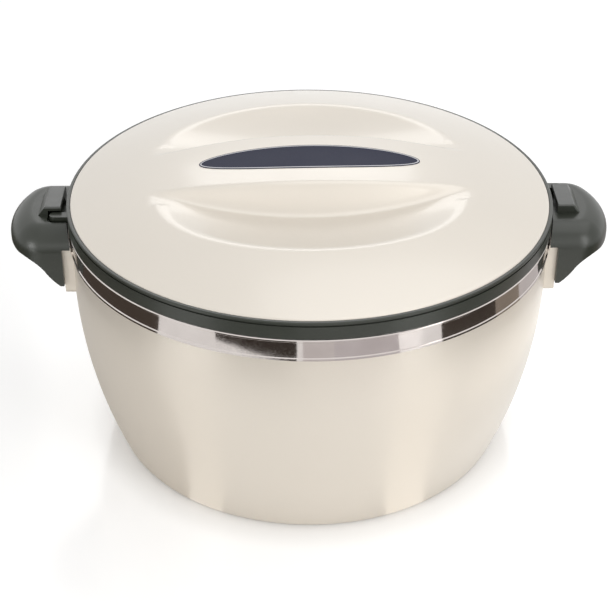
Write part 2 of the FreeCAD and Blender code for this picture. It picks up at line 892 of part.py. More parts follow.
def make_lid_cover():
    """Moulded dome of even wall, with a finger scoop each side of the bar and a bed for the plate."""
    bottom = lid_edge_height - lid_edge_depth
    outer = dome_solid("lid_outside", as_size(0), lid_radius, bottom)
    inner = dome_solid("lid_inside", lid_skin, lid_radius - lid_skin, bottom - overcut)
    shaped = cut("lid_shaped", outer, fused("scoops", [scoop("front_scoop", -1, as_size(0)),
                                                       scoop("rear_scoop", 1, as_size(0))]))
    hollow = cut("lid_hollow", inner, fused("grown_scoops", [scoop("front_grown", -1, lid_skin),
                                                             scoop("rear_grown", 1, lid_skin)]))
    shell = cut("lid_shell", shaped, hollow)
    bed = plate_space("plate_bed", as_size(0), plate_proud - plate_thickness, overcut * 2)
    return cut("lid_cover", shell, bed)


def plate_space(label, slack, low, high):
    """Oval slice between two spheres that follow the dome, low and high measured from its face."""
    oval = primitive("Part::Ellipse", label + "_oval",
                     MajorRadius=plate_half_length + slack, MinorRadius=plate_half_width + slack)
    prism = doc.addObject("Part::Extrusion", label + "_prism")
    prism.Base = oval
    prism.DirMode = "Custom"
    prism.Dir = Vector(0, 0, 1)
    prism.Solid = True
    tall = dome_top() + overcut * 3
    prism.LengthFwd = tall.value
    prism.setExpression("LengthFwd", tall.formula)
    centre = dome_top() - dome_radius(lid_rise, lid_radius)
    spheres = []
    for name, offset in (("low", low), ("high", high)):
        radius = dome_radius(lid_rise, lid_radius) + offset
        sphere = primitive("Part::Sphere", f"{label}_{name}", Radius=radius)
        spheres.append(place(sphere, z=centre))
    return cut(label, common(label + "_under_high", prism, spheres[1]), spheres[0])


def make_lid_badge():
    """Thin oval plate let into the top of the grip bar."""
    return plate_space("lid_badge", -lid_fit / 2, plate_proud - plate_thickness, plate_proud)


def make_lid_ring():
    """Dark moulded lock ring: outer skirt, web under the dome's edge, seal keeper and two lugs."""
    body = new_body("lid_ring")
    bottom = band_height() + ring_bottom_gap
    top = lid_edge_height - ring_lip_drop
    ledge = lid_edge_height - lid_edge_depth
    lip_bottom = top - ring_lip_height
    under_web = ledge - ring_web
    keeper = keeper_radius()
    turned(body, "ring", [
        (ring_radius - ring_skirt, bottom),
        (ring_radius - ring_round, bottom),
        (ring_radius, bottom + ring_round),
        (ring_radius, lip_bottom - ring_groove_height),
        (ring_radius - ring_groove_depth, lip_bottom - ring_groove_height),
        (ring_radius - ring_groove_depth, lip_bottom),
        (ring_radius, lip_bottom),
        (ring_radius, top - ring_round),
        (ring_radius - ring_round, top),
        (lid_radius + lid_fit, top),
        (lid_radius + lid_fit, ledge),
        (ring_inner_radius, ledge),
        (ring_inner_radius, under_web),
        (keeper, under_web),
        (keeper, under_web - seal_height + seal_keeper_gap),
        (keeper + seal_keeper_width, under_web - seal_height + seal_keeper_gap),
        (keeper + seal_keeper_width, under_web),
        (ring_radius - ring_skirt, under_web),
    ])
    add_lugs(body)
    return body


def keeper_radius():
    return bowl_mouth_radius - liner_gap + seal_gap + seal_width + seal_gap + seal_setback


def lug_bottom():
    return hook_top - hook_roof - lug_clearance - lug_thickness


def add_lugs(body):
    """Two opposite lugs that stand just outside the hooks' mouths while the lid is loose."""
    root_x = ring_radius - ring_skirt / 2
    near = hook_mouth + lug_clearance
    half = lug_length / 2
    for name, side in (("right", 1), ("left", -1)):
        plan = outline(new_sketch(body, f"{name}_lug_plan", "XY_Plane", raised=lug_bottom()), [
            (root_x * side, near * side),
            ((lug_reach - half) * side, near * side),
            (lug_reach * side, (near + half) * side, half),
            ((lug_reach - half) * side, (near + lug_length) * side, half),
            (root_x * side, (near + lug_length) * side),
        ])
        pad(body, f"{name}_lug", plan, lug_thickness)


def make_lid_liner():
    """Steel pan that closes the lid's underside and plugs into the bowl."""
    body = new_body("lid_liner")
    side = bowl_mouth_radius - liner_gap
    top = lid_edge_height - lid_edge_depth - ring_web
    floor = top - liner_drop
    flange = keeper_radius() - liner_flange_gap
    turned(body, "pan", [
        (lid_plug_radius, floor),
        (side - liner_corner, floor),
        (side, floor + liner_corner, liner_corner),
        (side, top - liner_wall),
        (flange, top - liner_wall),
        (flange, top),
        (side - liner_wall, top),
        (side - liner_wall, floor + liner_corner),
        (side - liner_corner, floor + liner_wall, -(liner_corner - liner_wall)),
        (lid_plug_radius, floor + liner_wall),
    ])
    return body


def make_lid_foam():
    """Foam between the dome and the pan, hollowed where the scoops come down."""
    bend = dome_radius(lid_rise, lid_radius)
    drop = lid_skin + foam_gap
    radius = bend - drop
    low = dome_top() - drop
    side = bowl_mouth_radius - liner_gap - liner_wall - foam_gap
    floor = lid_edge_height - lid_edge_depth - ring_web - liner_drop + liner_wall
    edge_height = low - radius + root(radius * radius - side * side)
    body = new_body("lid_fill")
    turned(body, "fill", [
        (lid_plug_radius + plug_margin, floor),
        (side + liner_wall - liner_corner, floor),
        (side, floor + liner_corner - liner_wall, liner_corner),
        (side, edge_height),
        (0, low, radius),
        (0, floor + plug_head),
        (lid_plug_radius + plug_margin, floor + plug_head),
    ])
    return cut("lid_foam", body, fused("foam_scoops", [scoop("front_foam", -1, lid_skin + foam_gap),
                                                       scoop("rear_foam", 1, lid_skin + foam_gap)]))


def make_lid_plug():
    """Stopper of the pan's filling hole."""
    body = new_body("lid_fill_plug")
    floor = lid_edge_height - lid_edge_depth - ring_web - liner_drop
    turned(body, "stopper", [
        (0, floor),
        (lid_plug_radius - plug_fit, floor),
        (lid_plug_radius - plug_fit, floor + plug_head),
        (0, floor + plug_head),
    ])
    return body


def make_lid_seal():
    """Soft ring between the lid and the bowl's flange."""
    body = new_body("lid_seal")
    inner = keeper_radius() - seal_gap - seal_width
    bottom = collar_top() + bowl_wall + seal_gap
    top = bottom + seal_height
    turned(body, "seal", [
        (inner, bottom + seal_round),
        (inner + seal_round, bottom),
        (inner + seal_width - seal_round, bottom),
        (inner + seal_width, bottom + seal_round),
        (inner + seal_width, top),
        (inner, top),
    ])
    return body


def export_all(pieces):
    os.makedirs("parts", exist_ok=True)
    doc.recompute()
    for item in doc.Objects:
        if "Invalid" in item.State or "Error" in item.State:
            raise RuntimeError(f"{item.Label} is {item.State}")
    for piece in pieces:
        if piece.Shape.isNull() or not piece.Shape.isValid():
            raise RuntimeError(f"{piece.Label} is not a sound solid")
    for piece in pieces:
        piece.Shape.exportStep(f"parts/{piece.Label}.step")


export_all([
    make_outer_shell(),
    make_rim_band(),
    make_rim_collar(),
    make_inner_bowl(),
    make_body_foam(),
    make_foam_plug(),
    make_handle_screws(),
    make_handle("handle_right"),
    half_turned(make_handle("handle_left")),
    turned_with_lid(make_lid_cover()),
    turned_with_lid(make_lid_badge()),
    make_lid_ring(),
    make_lid_liner(),
    turned_with_lid(make_lid_foam()),
    make_lid_plug(),
    make_lid_seal(),
])
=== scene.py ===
import math

import bmesh
import bpy
from mathutils import Matrix, Quaternion, Vector


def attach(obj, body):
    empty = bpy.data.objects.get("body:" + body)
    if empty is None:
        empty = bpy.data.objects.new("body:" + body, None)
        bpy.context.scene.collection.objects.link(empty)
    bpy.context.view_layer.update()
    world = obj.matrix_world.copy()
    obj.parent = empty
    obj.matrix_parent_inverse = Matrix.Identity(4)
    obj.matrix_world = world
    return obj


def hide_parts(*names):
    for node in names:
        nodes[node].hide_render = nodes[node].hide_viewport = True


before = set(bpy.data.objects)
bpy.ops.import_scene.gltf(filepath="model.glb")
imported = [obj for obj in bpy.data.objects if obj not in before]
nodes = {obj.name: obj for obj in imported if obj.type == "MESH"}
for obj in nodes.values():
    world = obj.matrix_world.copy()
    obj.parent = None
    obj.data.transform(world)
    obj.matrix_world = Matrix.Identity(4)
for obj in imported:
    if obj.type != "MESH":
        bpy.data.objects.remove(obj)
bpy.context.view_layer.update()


# Camera
# It looks down on the front of the pot, a little from its left, with the handles to the two sides.

camera_aim = Vector((-0.0007, 0, 0.0733))
camera_distance = 0.928
camera_elevation = math.radians(32.82)
camera_azimuth = math.radians(-1.19)
camera_roll = math.radians(0.24)

camera = bpy.data.objects.new("camera", bpy.data.cameras.new("camera"))
bpy.context.scene.collection.objects.link(camera)
camera.data.sensor_width = 36
camera.data.lens = 87.66
camera.data.clip_start = 0.05
camera.data.clip_end = 50
camera_back = Vector((math.sin(camera_azimuth) * math.cos(camera_elevation),
                      -math.cos(camera_azimuth) * math.cos(camera_elevation),
                      math.sin(camera_elevation)))
camera.location = camera_aim + camera_back * camera_distance
camera.rotation_mode = "QUATERNION"
camera.rotation_quaternion = (-camera_back).to_track_quat("-Z", "Y") @ Quaternion((0, 0, 1), camera_roll)
bpy.context.scene.camera = camera
bpy.context.scene.view_settings.view_transform = "Standard"


# Studio
# A pale table in a pale surround, with soft lamps above, behind, in front and to both sides. The table's glow
# fades close to the pot, a painted contact shadow.

def soft_lamp(name, place, aim, width, height, power):
    data = bpy.data.lights.new(name, "AREA")
    data.shape = "RECTANGLE"
    data.size = width
    data.size_y = height
    data.energy = power
    lamp = bpy.data.objects.new(name, data)
    bpy.context.scene.collection.objects.link(lamp)
    lamp.location = place
    lamp.rotation_mode = "QUATERNION"
    lamp.rotation_quaternion = (Vector(aim) - Vector(place)).to_track_quat("-Z", "Y")


soft_lamp("lamp_above", (0.5, 0.05, 1.5), (0, 0, 0.1), 1.6, 1.4, 7.4)
soft_lamp("lamp_right", (1.1, -1.3, 0.65), (0, 0, 0.08), 0.6, 1.2, 9)
soft_lamp("lamp_left", (-1.25, -1.15, 0.34), (0, 0, 0.08), 0.6, 0.55, 6.5)
soft_lamp("lamp_front", (0, -1.9, 0.55), (0, 0, 0.08), 1.6, 0.5, 2)
soft_lamp("lamp_behind", (0, 2.1, 1.5), (0, 0, 0.15), 1.2, 0.6, 4.6)

world = bpy.data.worlds.new("surround")
bpy.context.scene.world = world
world.use_nodes = True
tree = world.node_tree
tree.nodes.clear()
world_out = tree.nodes.new("ShaderNodeOutputWorld")
strengths = {"seen": 1, "mirrored": 1.15, "cast": 0.45}
sky = {}
for name, strength in strengths.items():
    sky[name] = tree.nodes.new("ShaderNodeBackground")
    sky[name].inputs["Color"].default_value = (1, 1, 1, 1)
    sky[name].inputs["Strength"].default_value = strength
path = tree.nodes.new("ShaderNodeLightPath")
mirrored = tree.nodes.new("ShaderNodeMixShader")
tree.links.new(path.outputs["Is Glossy Ray"], mirrored.inputs["Fac"])
tree.links.new(sky["cast"].outputs[0], mirrored.inputs[1])
tree.links.new(sky["mirrored"].outputs[0], mirrored.inputs[2])
seen = tree.nodes.new("ShaderNodeMixShader")
tree.links.new(path.outputs["Is Camera Ray"], seen.inputs["Fac"])
tree.links.new(mirrored.outputs[0], seen.inputs[1])
tree.links.new(sky["seen"].outputs[0], seen.inputs[2])
tree.links.new(seen.outputs[0], world_out.inputs["Surface"])


def new_material(name):
    """A material with an empty node tree, its output and its main shader."""
    material = bpy.data.materials.new(name)
    material.use_nodes = True
    tree = material.node_tree
    tree.nodes.clear()
    output = tree.nodes.new("ShaderNodeOutputMaterial")
    shader = tree.nodes.new("ShaderNodeBsdfPrincipled")
    tree.links.new(shader.outputs[0], output.inputs["Surface"])
    return material, tree, shader


def stage_piece(bm, name):
    """A part of the studio, made from a bmesh."""
    mesh = bpy.data.meshes.new(name)
    bm.to_mesh(mesh)
    bm.free()
    piece = bpy.data.objects.new(name, mesh)
    bpy.context.scene.collection.objects.link(piece)
    return piece


bm = bmesh.new()
bmesh.ops.create_circle(bm, cap_ends=True, segments=96, radius=6)
floor = stage_piece(bm, "floor")
floor_material, tree, shader = new_material("pale_table")
floor_material.cycles.emission_sampling = "NONE"
shader.inputs["Base Color"].default_value = (0.90, 0.90, 0.90, 1)
shader.inputs["Roughness"].default_value = 0.14
shader.inputs["Emission Color"].default_value = (1, 1, 1, 1)
path = tree.nodes.new("ShaderNodeLightPath")
seen = tree.nodes.new("ShaderNodeMath")
seen.operation = "MAXIMUM"
tree.links.new(path.outputs["Is Camera Ray"], seen.inputs[0])
tree.links.new(path.outputs["Is Glossy Ray"], seen.inputs[1])
# Painted contact shadow: the table's own glow, seen by the camera and in reflections, is dimmed where ambient
# occlusion finds the pot close by.
painted_contact_shadow = tree.nodes.new("ShaderNodeAmbientOcclusion")
painted_contact_shadow.samples = 8
painted_contact_shadow.inputs["Distance"].default_value = 0.02
shade = tree.nodes.new("ShaderNodeMapRange")
shade.inputs["To Min"].default_value = 0.0
shade.inputs["To Max"].default_value = 0.3
tree.links.new(painted_contact_shadow.outputs["AO"], shade.inputs["Value"])
lift = tree.nodes.new("ShaderNodeMath")
lift.operation = "MULTIPLY"
tree.links.new(seen.outputs[0], lift.inputs[0])
tree.links.new(shade.outputs["Result"], lift.inputs[1])
tree.links.new(lift.outputs[0], shader.inputs["Emission Strength"])
floor.data.materials.append(floor_material)


# Cards
# Lit and shaded cards round the pot, seen only in its gloss: near ones in the body, far ones in the band.
# Each has its reaches from the pot's axis and its turns from the front, at the near edge and at the far one.

cards = [
    ("body_left_shade", (0.118, 0.118, 0.30), (-135, -37), (-135, -62), (0.84, 0.81, 0.77), 0),
    ("body_left_bright", (0.118, 0.118, 0.31), (-37, -26), (-62, -39.5), (0.9, 0.88, 0.85), 0.6),
    ("body_right_bright", (0.118, 0.118, 0.31), (21, 33), (33, 62), (0.9, 0.88, 0.85), 0.8),
    ("body_right_pale", (0.20, 0.20, 0.30), (56, 125), (64, 125), (0.9, 0.88, 0.85), 0.75),
    ("band_left_dark", (0.25, 0.31, 0.75), (-150, -60.3), (-150, -60.3), (0.10, 0.080, 0.066), 0),
    ("band_wedge", (0.340, 0.326, 0.75), (-36, -5.6), (-36, -5.6), (0.06, 0.048, 0.040), 0),
    ("band_front_pale", (0.32, 0.32, 0.75), (-3.4, 7.9), (-3.4, 7.9), (0.88, 0.84, 0.84), 0),
    ("band_front_grey", (0.32, 0.32, 0.75), (7.9, 32), (7.9, 32), (0.80, 0.76, 0.78), 0),
    ("band_right_dark", (0.314, 0.297, 0.75), (49.5, 77), (51, 77), (0.08, 0.066, 0.056), 0),
    ("band_right_mid", (0.297, 0.282, 0.75), (77, 93), (77, 93), (0.36, 0.31, 0.26), 0),
    ("band_right_grey", (0.282, 0.24, 0.75), (93, 140), (93, 140), (0.78, 0.74, 0.74), 0),
]
card_step = 0.0002
for number, (name, reaches, near_turns, far_turns, colour, glow) in enumerate(cards):
    near_start, near_stop, far = reaches
    bm = bmesh.new()
    bmesh.ops.create_grid(bm, x_segments=24, y_segments=4, size=0.5)
    for vertex in bm.verts:
        along, out = 0.5 + vertex.co.x, 0.5 - vertex.co.y
        near = near_start + (near_stop - near_start) * along
        reach = near + (far - near) * out
        near_turn = near_turns[0] + (near_turns[1] - near_turns[0]) * along
        far_turn = far_turns[0] + (far_turns[1] - far_turns[0]) * along
        turn = math.radians(near_turn + (far_turn - near_turn) * out)
        vertex.co = (math.sin(turn) * reach, -math.cos(turn) * reach, card_step * (number + 1))
    card = stage_piece(bm, name)
    material, tree, shader = new_material(name)
    material.cycles.emission_sampling = "NONE"
    under = tree.nodes.new("ShaderNodeNewGeometry")
    clear = tree.nodes.new("ShaderNodeBsdfTransparent")
    one_sided = tree.nodes.new("ShaderNodeMixShader")
    tree.links.new(under.outputs["Backfacing"], one_sided.inputs["Fac"])
    tree.links.new(shader.outputs[0], one_sided.inputs[1])
    tree.links.new(clear.outputs[0], one_sided.inputs[2])
    tree.links.new(one_sided.outputs[0], tree.nodes["Material Output"].inputs["Surface"])
    shader.inputs["Base Color"].default_value = (*colour, 1)
    shader.inputs["Roughness"].default_value = 0.9
    shader.inputs["Specular IOR Level"].default_value = 0
    shader.inputs["Emission Color"].default_value = (*colour, 1)
    shader.inputs["Emission Strength"].default_value = glow
    card.data.materials.append(material)
    card.visible_camera = False
    card.visible_diffuse = False
    card.visible_transmission = False
    card.visible_shadow = False


# Outer shell
# The pot's moulded cup, in glossy pearl plastic with fine flakes. It stands on its foot ring and has a
# flat pad for each handle.

def socket(group, name, in_out, kind, value=None):
    made = group.interface.new_socket(name=name, in_out=in_out, socket_type=kind)
    if value is not None:
        made.default_value = value
    return made


def object_place(tree):
    """Object coordinates of the piece, in metres."""
    return tree.nodes.new("ShaderNodeTexCoord").outputs["Object"]


def noise(tree, place, scale, detail=2.0, roughness=0.5):
    texture = tree.nodes.new("ShaderNodeTexNoise")
    texture.inputs["Scale"].default_value = scale
    texture.inputs["Detail"].default_value = detail
    texture.inputs["Roughness"].default_value = roughness
    tree.links.new(place, texture.inputs["Vector"])
    return texture.outputs["Fac"]


def spread(tree, value, low, high, from_low=0.3, from_high=0.7):
    """Spread a texture's middle values between low and high."""
    ranged = tree.nodes.new("ShaderNodeMapRange")
    ranged.inputs["From Min"].default_value = from_low
    ranged.inputs["From Max"].default_value = from_high
    ranged.inputs["To Min"].default_value = low
    ranged.inputs["To Max"].default_value = high
    tree.links.new(value, ranged.inputs["Value"])
    return ranged.outputs["Result"]


def arithmetic(tree, operation, *values):
    node = tree.nodes.new("ShaderNodeMath")
    node.operation = operation
    for number, value in enumerate(values):
        if isinstance(value, (int, float)):
            node.inputs[number].default_value = value
        else:
            tree.links.new(value, node.inputs[number])
    return node.outputs[0]


def blend_colour(tree, factor, first, second):
    node = tree.nodes.new("ShaderNodeMix")
    node.data_type = "RGBA"
    for place, value in (("Factor_Float", factor), ("A_Color", first), ("B_Color", second)):
        target = [item for item in node.inputs if item.identifier == place][0]
        if isinstance(value, bpy.types.NodeSocket):
            tree.links.new(value, target)
        else:
            target.default_value = value
    return [item for item in node.outputs if item.identifier == "Result_Color"][0]


def make_moulded_skin():
    """Moulded plastic: slow changes of tint, a fine peel and faint marks of handling."""
    group = bpy.data.node_groups.new("moulded_skin", "ShaderNodeTree")
    socket(group, "Place", "INPUT", "NodeSocketVector")
    socket(group, "Colour", "INPUT", "NodeSocketColor")
    socket(group, "Second Colour", "INPUT", "NodeSocketColor")
    socket(group, "Roughness", "INPUT", "NodeSocketFloat", 0.3)
    socket(group, "Marks", "INPUT", "NodeSocketFloat", 0.05)
    socket(group, "Colour", "OUTPUT", "NodeSocketColor")
    socket(group, "Roughness", "OUTPUT", "NodeSocketFloat")
    socket(group, "Height", "OUTPUT", "NodeSocketFloat")
    given = group.nodes.new("NodeGroupInput")
    result = group.nodes.new("NodeGroupOutput")
    place = given.outputs["Place"]
    drift_scale = 9
    flake_scale = 2600
    smear_scale = 38
    peel_scale = 420
    grain_scale = 1900
    flake_share = 0.4
    grain_share = 0.25
    drift = spread(group, noise(group, place, drift_scale, 2), 0, 1)
    flakes = spread(group, noise(group, place, flake_scale, 1), 0, 1)
    tint = arithmetic(group, "ADD", arithmetic(group, "MULTIPLY", drift, 1 - flake_share),
                      arithmetic(group, "MULTIPLY", flakes, flake_share))
    colour = blend_colour(group, tint, given.outputs["Colour"], given.outputs["Second Colour"])
    smears = spread(group, noise(group, place, smear_scale, 4, 0.65), -1, 1)
    marks = arithmetic(group, "MULTIPLY", smears, given.outputs["Marks"])
    rough = arithmetic(group, "ADD", given.outputs["Roughness"], marks)
    peel = noise(group, place, peel_scale, 2)
    grain = noise(group, place, grain_scale, 1)
    height = arithmetic(group, "ADD", peel, arithmetic(group, "MULTIPLY", grain, grain_share))
    group.links.new(colour, result.inputs["Colour"])
    group.links.new(rough, result.inputs["Roughness"])
    group.links.new(height, result.inputs["Height"])
    return group


moulded_skin = make_moulded_skin()


def bumped(tree, shader, height, depth):
    """Raise the surface by a height from 0 to 1 times a depth in metres."""
    bump = tree.nodes.new("ShaderNodeBump")
    bump.inputs["Strength"].default_value = 1
    bump.inputs["Distance"].default_value = depth
    tree.links.new(height, bump.inputs["Height"])
    tree.links.new(bump.outputs["Normal"], shader.inputs["Normal"])


def moulded_material(name, colour, second, roughness, marks, peel_depth,
                     coat=0.0, coat_roughness=0.1, pearl=0.0):
    """Moulded plastic between two colours, with a clear coat and a pearl share where given."""
    material, tree, shader = new_material(name)
    skin = tree.nodes.new("ShaderNodeGroup")
    skin.node_tree = moulded_skin
    tree.links.new(object_place(tree), skin.inputs["Place"])
    skin.inputs["Colour"].default_value = (*colour, 1)
    skin.inputs["Second Colour"].default_value = (*second, 1)
    skin.inputs["Roughness"].default_value = roughness
    skin.inputs["Marks"].default_value = marks
    tree.links.new(skin.outputs["Colour"], shader.inputs["Base Color"])
    tree.links.new(skin.outputs["Roughness"], shader.inputs["Roughness"])
    bumped(tree, shader, skin.outputs["Height"], peel_depth)
    shader.inputs["Metallic"].default_value = pearl
    shader.inputs["Coat Weight"].default_value = coat
    shader.inputs["Coat Roughness"].default_value = coat_roughness
    return material


def dress(name, material):
    """Give a carried-over piece its material in every slot."""
    mesh = nodes[name].data
    if not mesh.materials:
        mesh.materials.append(material)
    for number in range(len(mesh.materials)):
        nodes[name].material_slots[number].material = material


pearl_body = moulded_material("pearl_body", (0.676, 0.618, 0.536), (0.711, 0.652, 0.571), roughness=0.38,
                              marks=0.03, peel_depth=0.000004, coat=0.4, coat_roughness=0.16, pearl=0.35)
dress("outer_shell", pearl_body)


# Trim band
# Thin bright steel rolled round the pot's mouth, beaded at its foot and turned in over the collar at its top.
# The sheet is never quite flat, so what it mirrors wavers a little.

band_tint_scale = 60
band_polish_scale = 900
band_wave_scale = 90
band_wave_depth = 0.000016

band_material, tree, shader = new_material("bright_band")
shader.inputs["Metallic"].default_value = 1
place = object_place(tree)
tint = spread(tree, noise(tree, place, band_tint_scale, 3), 0, 1)
tree.links.new(blend_colour(tree, tint, (0.55, 0.505, 0.48, 1), (0.61, 0.565, 0.54, 1)),
               shader.inputs["Base Color"])
tree.links.new(spread(tree, noise(tree, place, band_polish_scale, 3), 0.04, 0.09),
               shader.inputs["Roughness"])
bumped(tree, shader, noise(tree, place, band_wave_scale, 2), band_wave_depth)
dress("rim_band", band_material)


# Bowl and lid pan
# Deep-drawn stainless steel, turned bright and finely brushed round its own axis. The bowl's flange lies
# on the collar, and the pan closes the lid's underside.

brushing_scale = 1800
brushing_turn_scale = 2.5
brushing_patch_scale = 22
dulled_share = 0.9


def make_turned_brushing():
    """Fine lines that run round the piece's upright axis."""
    group = bpy.data.node_groups.new("turned_brushing", "ShaderNodeTree")
    socket(group, "Place", "INPUT", "NodeSocketVector")
    socket(group, "Line Scale", "INPUT", "NodeSocketFloat", brushing_scale)
    socket(group, "Lines", "OUTPUT", "NodeSocketFloat")
    socket(group, "Patches", "OUTPUT", "NodeSocketFloat")
    given = group.nodes.new("NodeGroupInput")
    result = group.nodes.new("NodeGroupOutput")
    parts = group.nodes.new("ShaderNodeSeparateXYZ")
    group.links.new(given.outputs["Place"], parts.inputs[0])
    x, y, z = parts.outputs
    line_scale = given.outputs["Line Scale"]
    radius = arithmetic(group, "SQRT", arithmetic(group, "ADD", arithmetic(group, "MULTIPLY", x, x),
                                                  arithmetic(group, "MULTIPLY", y, y)))
    turn = arithmetic(group, "ARCTAN2", y, x)
    joined = group.nodes.new("ShaderNodeCombineXYZ")
    group.links.new(arithmetic(group, "MULTIPLY", radius, line_scale), joined.inputs["X"])
    group.links.new(arithmetic(group, "MULTIPLY", turn, brushing_turn_scale), joined.inputs["Y"])
    group.links.new(arithmetic(group, "MULTIPLY", z, line_scale), joined.inputs["Z"])
    group.links.new(noise(group, joined.outputs[0], 1, 3), result.inputs["Lines"])
    group.links.new(noise(group, given.outputs["Place"], brushing_patch_scale, 3), result.inputs["Patches"])
    return group


turned_brushing = make_turned_brushing()


def steel_material(name, low, high, colour, line_depth):
    """Brushed steel with a roughness between low and high."""
    material, tree, shader = new_material(name)
    shader.inputs["Metallic"].default_value = 1
    lines = tree.nodes.new("ShaderNodeGroup")
    lines.node_tree = turned_brushing
    tree.links.new(object_place(tree), lines.inputs["Place"])
    lines.inputs["Line Scale"].default_value = brushing_scale
    patches = spread(tree, lines.outputs["Patches"], 0, 1)
    dull = tuple(part * dulled_share for part in colour)
    tree.links.new(blend_colour(tree, patches, (*dull, 1), (*colour, 1)), shader.inputs["Base Color"])
    tree.links.new(spread(tree, lines.outputs["Lines"], low, high), shader.inputs["Roughness"])
    bumped(tree, shader, lines.outputs["Lines"], line_depth)
    return material


bowl_steel = steel_material("bowl_steel", 0.18, 0.32, (0.72, 0.71, 0.69), 0.000004)
dress("inner_bowl", bowl_steel)
dress("lid_liner", bowl_steel)


# Handle screws
# Plated pan-head screws, driven from inside the shell through its pads, two into each handle.

screw_steel = steel_material("screw_steel", 0.25, 0.4, (0.62, 0.61, 0.58), 0.000006)
dress("handle_screws", screw_steel)


# Collar and stoppers
# Plain moulded plastic, out of sight once the pot is closed.

plain_mould = moulded_material("plain_mould", (0.50, 0.47, 0.41), (0.55, 0.52, 0.46),
                               roughness=0.45, marks=0.05, peel_depth=0.00001)
for name in ("rim_collar", "foam_fill_plug", "lid_fill_plug"):
    dress(name, plain_mould)


# Foam
# Rigid foam poured into the pot and the lid, pale yellow with fine open cells.

cell_scale = 900
cell_reach = 0.7
cell_depth = 0.0002

foam_material, tree, shader = new_material("poured_foam")
cells = tree.nodes.new("ShaderNodeTexVoronoi")
cells.inputs["Scale"].default_value = cell_scale
tree.links.new(object_place(tree), cells.inputs["Vector"])
cell_shade = spread(tree, cells.outputs["Distance"], 0, 1, 0, cell_reach)
tree.links.new(blend_colour(tree, cell_shade, (0.62, 0.50, 0.27, 1), (0.80, 0.70, 0.45, 1)),
               shader.inputs["Base Color"])
tree.links.new(spread(tree, cells.outputs["Distance"], 0.8, 0.95, 0, cell_reach), shader.inputs["Roughness"])
bumped(tree, shader, cells.outputs["Distance"], cell_depth)
dress("body_foam", foam_material)
dress("lid_foam", foam_material)


# Handles and lock ring
# Hollow ears with a lock hook each, and the ring that carries the lid's lugs, in satin dark plastic.
# The flat tops of the hooks are painted paler in patches, a painted sheen where they catch the light.

sheen_from_height = 0.1512
sheen_to_height = 0.1523
sheen_patch_scale = 180


def dark_mould(name):
    """Satin dark plastic, nearly black."""
    return moulded_material(name, (0.021, 0.024, 0.017), (0.030, 0.034, 0.026),
                            roughness=0.33, marks=0.04, peel_depth=0.00001, coat=0.0)


ring_plastic = dark_mould("ring_plastic")
dress("lid_ring", ring_plastic)

handle_plastic = dark_mould("handle_plastic")
tree = handle_plastic.node_tree
shader = tree.nodes["Principled BSDF"]
moulded_colour = shader.inputs["Base Color"].links[0].from_socket
upright = tree.nodes.new("ShaderNodeSeparateXYZ")
tree.links.new(object_place(tree), upright.inputs[0])
# Painted sheen: everything above the handles' tops, the hook tops, is blended towards a paler grey in noisy
# patches.
painted_sheen = arithmetic(tree, "MULTIPLY", spread(tree, upright.outputs["Z"], 0, 1, sheen_from_height, sheen_to_height),
                    spread(tree, noise(tree, object_place(tree), sheen_patch_scale, 3), 0.7, 1))
tree.links.new(blend_colour(tree, painted_sheen, moulded_colour, (0.085, 0.088, 0.083, 1)),
               shader.inputs["Base Color"])
dress("handle_right", handle_plastic)
dress("handle_left", handle_plastic)


# Lid cover
# Moulded pearl dome. A hollow each side leaves a bar across the middle for the hand to grip.

lid_radius = 0.1399
lid_edge_height = 0.156
lid_skirt_bottom = 0.1536
lid_rise = 0.0223
lid_wall = 0.0025
lid_edge_round = 0.0006
lid_turned = math.radians(1.4)
bar_half_width = 0.030
bar_side_radius = 0.385
bar_side_slope = 18 / 8.5
scoop_depth = 0.018
scoop_centre = 0.038
scoop_across_radius = 0.154
scoop_along_radius = 0.455
bar_edge_softness = 0.0035
wall_foot_softness = 0.006
scoop_edge_softness = 0.0016
bar_edge_reach = 0.006
lid_top = lid_edge_height + lid_rise
dome_radius = (lid_rise * lid_rise + lid_radius * lid_radius) / (lid_rise * 2)


def soft_largest(first, second, softness):
    """The larger of two heights, rounded over where they meet."""
    gap = max(softness - abs(first - second), 0) / softness
    return max(first, second) + gap * gap * softness / 4


def soft_smallest(first, second, softness):
    """The smaller of two heights, rounded over where they meet."""
    return -soft_largest(-first, -second, softness)


def lid_height(across, along):
    """Height of the lid's face: the dome, lowered in the two hollows, with soft edges between."""
    dome = lid_top - dome_radius + math.sqrt(dome_radius ** 2 - across ** 2 - along ** 2)
    offset = abs(along)
    bow = bar_side_radius - math.sqrt(bar_side_radius ** 2 - across ** 2)
    wall = lid_top - (offset - (bar_half_width - bow)) * bar_side_slope
    bed = (lid_top - scoop_depth + (offset - scoop_centre) ** 2 / (scoop_across_radius * 2)
           + across ** 2 / (scoop_along_radius * 2))
    hollow = soft_largest(wall, bed, wall_foot_softness)
    softness = bar_edge_softness if offset < bar_half_width + bar_edge_reach else scoop_edge_softness
    return soft_smallest(dome, hollow, softness)


def finish_piece(bm, name, body, material):
    """Turn a bmesh into a smooth-shaded piece that rides on a body."""
    mesh = bpy.data.meshes.new(name)
    bm.to_mesh(mesh)
    bm.free()
    mesh.shade_smooth()
    piece = bpy.data.objects.new(name, mesh)
    bpy.context.scene.collection.objects.link(piece)
    mesh.materials.append(material)
    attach(piece, body)
    return piece


merge_distance = 0.000001


def spun(profile, steps):
    """A profile of (radius, height) places turned all the way round the upright axis."""
    bm = bmesh.new()
    chain = [bm.verts.new((radius, 0, height)) for radius, height in profile]
    edges = [bm.edges.new(pair) for pair in zip(chain, chain[1:])]
    bmesh.ops.spin(bm, geom=chain + edges, axis=(0, 0, 1), cent=(0, 0, 0), dvec=(0, 0, 0),
                   angle=math.tau, steps=steps, use_merge=True, use_duplicate=False)
    bmesh.ops.remove_doubles(bm, verts=bm.verts, dist=merge_distance)
    bmesh.ops.recalc_face_normals(bm, faces=bm.faces)
    return bm


